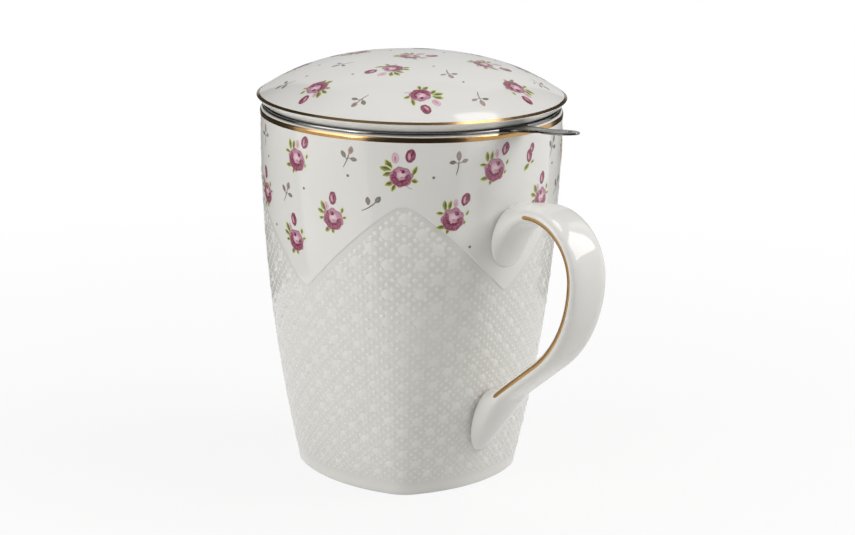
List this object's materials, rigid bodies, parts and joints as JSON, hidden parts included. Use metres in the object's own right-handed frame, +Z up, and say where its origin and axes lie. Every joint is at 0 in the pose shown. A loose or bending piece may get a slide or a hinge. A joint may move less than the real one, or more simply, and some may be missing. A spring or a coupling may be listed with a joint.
{
  "type": "lidded tea mug with infuser",
  "caption": "Porcelain tea mug, round at the lip and squarish at the foot, with a ribbon handle, a domed lift-off lid and a lift-out steel infuser with a tab.",
  "frame": {"origin": "middle of the foot, on the surface that the mug stands on", "axes": "+Z up, +X out along the handle, +Y across it; the four sides of the foot face +X, +Y, -X and -Y"},
  "size_m": [0.1163, 0.0884, 0.1209],
  "materials": {
    "porcelain": "glossy white glaze",
    "polished_steel": "polished stainless steel",
    "steel_mesh": "fine woven stainless wire"
  },
  "bodies": {
    "mug": {"mug_body": "porcelain", "mug_handle": "porcelain"},
    "infuser": {"infuser_rim": "polished_steel", "infuser_wall": "steel_mesh", "infuser_bottom_ring": "polished_steel", "infuser_bottom": "steel_mesh"},
    "lid": {"lid": "porcelain"}
  },
  "joints": [
    {"name": "infuser_lift", "type": "slide", "parent": "mug", "child": "infuser", "axis": [0, 0, 1], "range_m": [0, 0.085]},
    {"name": "lid_lift", "type": "slide", "parent": "infuser", "child": "lid", "axis": [0, 0, 1], "range_m": [0, 0.03]}
  ]
}
